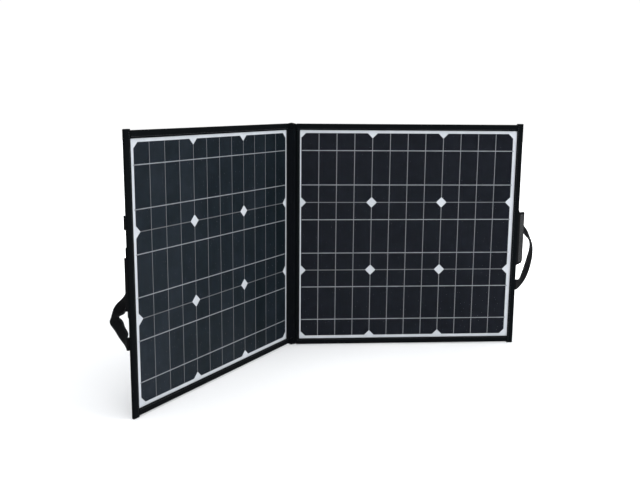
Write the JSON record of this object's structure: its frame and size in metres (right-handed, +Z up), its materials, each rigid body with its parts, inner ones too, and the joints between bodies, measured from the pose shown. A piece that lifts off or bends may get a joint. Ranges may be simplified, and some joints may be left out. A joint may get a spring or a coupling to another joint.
{
  "type": "solar suitcase kit",
  "caption": "Folding fabric-bound solar panel pair on a soft spine, with webbing handles, closure flaps, kickstands and a zipped rear pouch holding the charge controller.",
  "frame": {"origin": "centre of the spine's bottom end, on the ground plane, with the panels standing open", "axes": "+X runs along the right panel away from the spine, +Y points behind the right panel, +Z is up; the left panel swings forward towards -X and -Y"},
  "size_m": [0.9343, 0.4928, 0.52],
  "materials": {
    "case_fabric": "woven, matt",
    "border_fabric": "coated tape, satin",
    "webbing": "ribbed webbing",
    "hook_tape": "hook pile",
    "zip_tape": "woven tape",
    "board": "glass-fibre sheet",
    "backsheet_white": "satin white film",
    "silicon_cell": "dark blue-black, fine ribs",
    "tinned_ribbon": "tinned",
    "clear_film": "clear, satin",
    "black_plastic": "moulded",
    "controller_plastic": "fine spark-eroded grain",
    "cable_jacket": "satin",
    "dark_metal": "black enamel",
    "steel": "plated",
    "nickel": "nickel plate",
    "circuit_board": "solder mask",
    "display": "liquid crystal",
    "button_rubber": "matt"
  },
  "bodies": {
    "spine": {"spine_core": "board", "spine_cover": "case_fabric", "spine_end_bindings": "border_fabric", "spine_lead": "cable_jacket"},
    "right_panel": {"bypass_diodes": "black_plastic", "controller_base": "controller_plastic", "controller_board": "circuit_board", "controller_cover": "controller_plastic", "controller_display": "display", "housing_screws": "steel", "junction_box": "black_plastic", "junction_lid": "black_plastic", "output_cable": "cable_jacket", "plug_barrel": "nickel", "plug_body": "cable_jacket", "pouch": "case_fabric", "right_backsheet": "backsheet_white", "right_cell_ribbons": "tinned_ribbon", "right_edge_binding": "border_fabric", "right_front_film": "clear_film", "right_handle_anchors": "webbing", "right_inner_hem": "border_fabric", "right_kickstand_hinge": "webbing", "right_panel_lead": "cable_jacket", "right_rear_cover": "case_fabric", "right_side_tape": "border_fabric", "right_solar_cells": "silicon_cell", "right_stiffener_board": "board", "right_terminal_block": "black_plastic", "usb_ports": "steel", "zip_tape": "zip_tape", "zip_teeth": "black_plastic"},
    "right_handle_loop": {"right_handle": "webbing"},
    "left_handle_loop": {"left_handle": "webbing"},
    "right_flap": {"right_closure_flap": "case_fabric", "right_hook_strip": "hook_tape"},
    "left_flap": {"left_closure_flap": "case_fabric", "left_hook_strip": "hook_tape"},
    "right_kickstand": {"right_kickstand_sleeve": "case_fabric", "right_kickstand_board": "board", "right_kickstand_foot": "webbing"},
    "left_kickstand": {"left_kickstand_sleeve": "case_fabric", "left_kickstand_board": "board", "left_kickstand_foot": "webbing"},
    "slider": {"zip_slider": "dark_metal"},
    "pull": {"zip_pull": "dark_metal"},
    "button": {"controller_button": "button_rubber"},
    "left_panel": {"left_backsheet": "backsheet_white", "left_cell_ribbons": "tinned_ribbon", "left_edge_binding": "border_fabric", "left_front_film": "clear_film", "left_handle_anchors": "webbing", "left_inner_hem": "border_fabric", "left_kickstand_hinge": "webbing", "left_panel_lead": "cable_jacket", "left_rear_cover": "case_fabric", "left_side_tape": "border_fabric", "left_solar_cells": "silicon_cell", "left_stiffener_board": "board", "left_terminal_block": "black_plastic"}
  },
  "joints": [
    {"name": "spine_fold_right", "type": "hinge", "parent": "spine", "child": "right_panel", "pos_m": [0.0089, -0.00315, 0.26], "axis": [0, 0, -1], "range_deg": [-5.5, 109.48]},
    {"name": "spine_fold_left", "type": "hinge", "parent": "spine", "child": "left_panel", "pos_m": [-0.0089, 0.00315, 0.26], "axis": [0, 0, 1], "range_deg": [-100.3, 14.67]},
    {"name": "right_flap_hinge", "type": "hinge", "parent": "right_panel", "child": "right_flap", "pos_m": [0.5334, -0.00015, 0.26], "axis": [0, 0, 1], "range_deg": [-63, 123]},
    {"name": "left_flap_hinge", "type": "hinge", "parent": "left_panel", "child": "left_flap", "pos_m": [-0.30582, -0.42923, 0.26], "axis": [0, 0, -1], "range_deg": [-190, 0]},
    {"name": "right_handle_swing", "type": "hinge", "parent": "right_panel", "child": "right_handle_loop", "pos_m": [0.5334, -0.00015, 0.26], "axis": [0, 0, 1], "range_deg": [-35, 40]},
    {"name": "left_handle_swing", "type": "hinge", "parent": "left_panel", "child": "left_handle_loop", "pos_m": [-0.30582, -0.42923, 0.26], "axis": [0, 0, -1], "range_deg": [-75, 18]},
    {"name": "right_kickstand_fold", "type": "hinge", "parent": "right_panel", "child": "right_kickstand", "pos_m": [0.1589, 0.00135, 0.35], "axis": [1, 0, 0], "range_deg": [0, 50]},
    {"name": "left_kickstand_fold", "type": "hinge", "parent": "left_panel", "child": "left_kickstand", "pos_m": [-0.09683, -0.11846, 0.35], "axis": [0.5614, 0.8276, 0], "range_deg": [0, 50]},
    {"name": "zip_slide", "type": "slide", "parent": "right_panel", "child": "slider", "axis": [-1, 0, 0], "range_m": [0, 0.156]},
    {"name": "zip_pull_hinge", "type": "hinge", "parent": "slider", "child": "pull", "pos_m": [0.4489, 0.02365, 0.202], "axis": [0, 0, -1], "range_deg": [0, 160]},
    {"name": "button_press", "type": "slide", "parent": "right_panel", "child": "button", "axis": [0, -1, 0], "range_m": [0, 0.001]}
  ]
}
